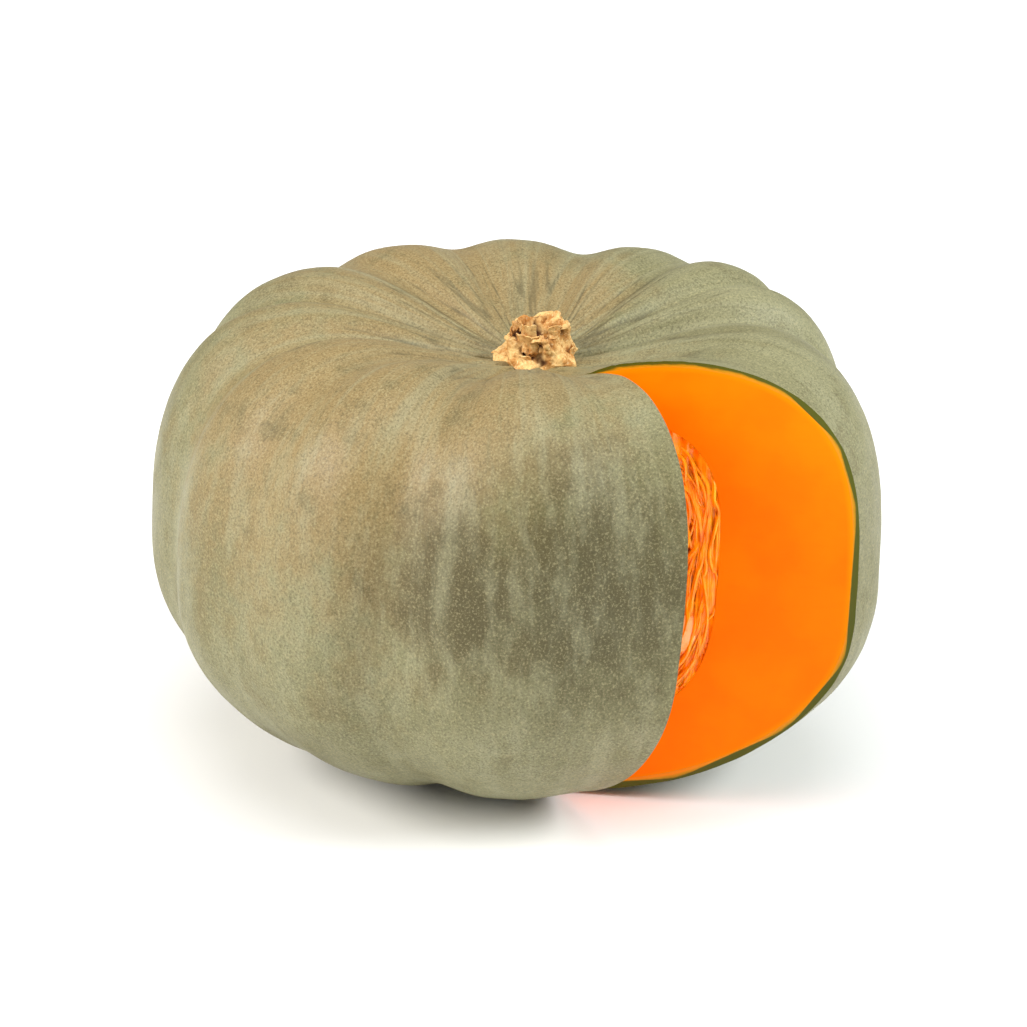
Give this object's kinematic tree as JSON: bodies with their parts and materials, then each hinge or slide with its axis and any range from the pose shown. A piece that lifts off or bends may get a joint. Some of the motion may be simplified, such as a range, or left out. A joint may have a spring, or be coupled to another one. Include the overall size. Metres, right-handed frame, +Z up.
{
  "type": "cut pumpkin",
  "caption": "Squat ribbed winter squash with a dry stem stub and a wedge cut out, which shows rind, thick flesh, stringy pulp and seeds round a hollow middle.",
  "frame": {"origin": "on the floor, under the middle of the fruit's bounding box", "axes": "+Z up along the stem, -Y out of the middle of the notch that the wedge left"},
  "size_m": [0.2805, 0.2901, 0.1765],
  "materials": {
    "rind": "matt waxy grey-green skin with fine leathery speckle and tan blotches",
    "flesh": "moist saturated orange flesh, smooth from the knife",
    "pulp": "wet yellow-orange strings with cream seeds",
    "stem": "dry torn cork, tan with dark hollows"
  },
  "bodies": {
    "root": {"rind": "rind", "flesh": "flesh", "pulp": "pulp", "stem": "stem"}
  },
  "joints": []
}
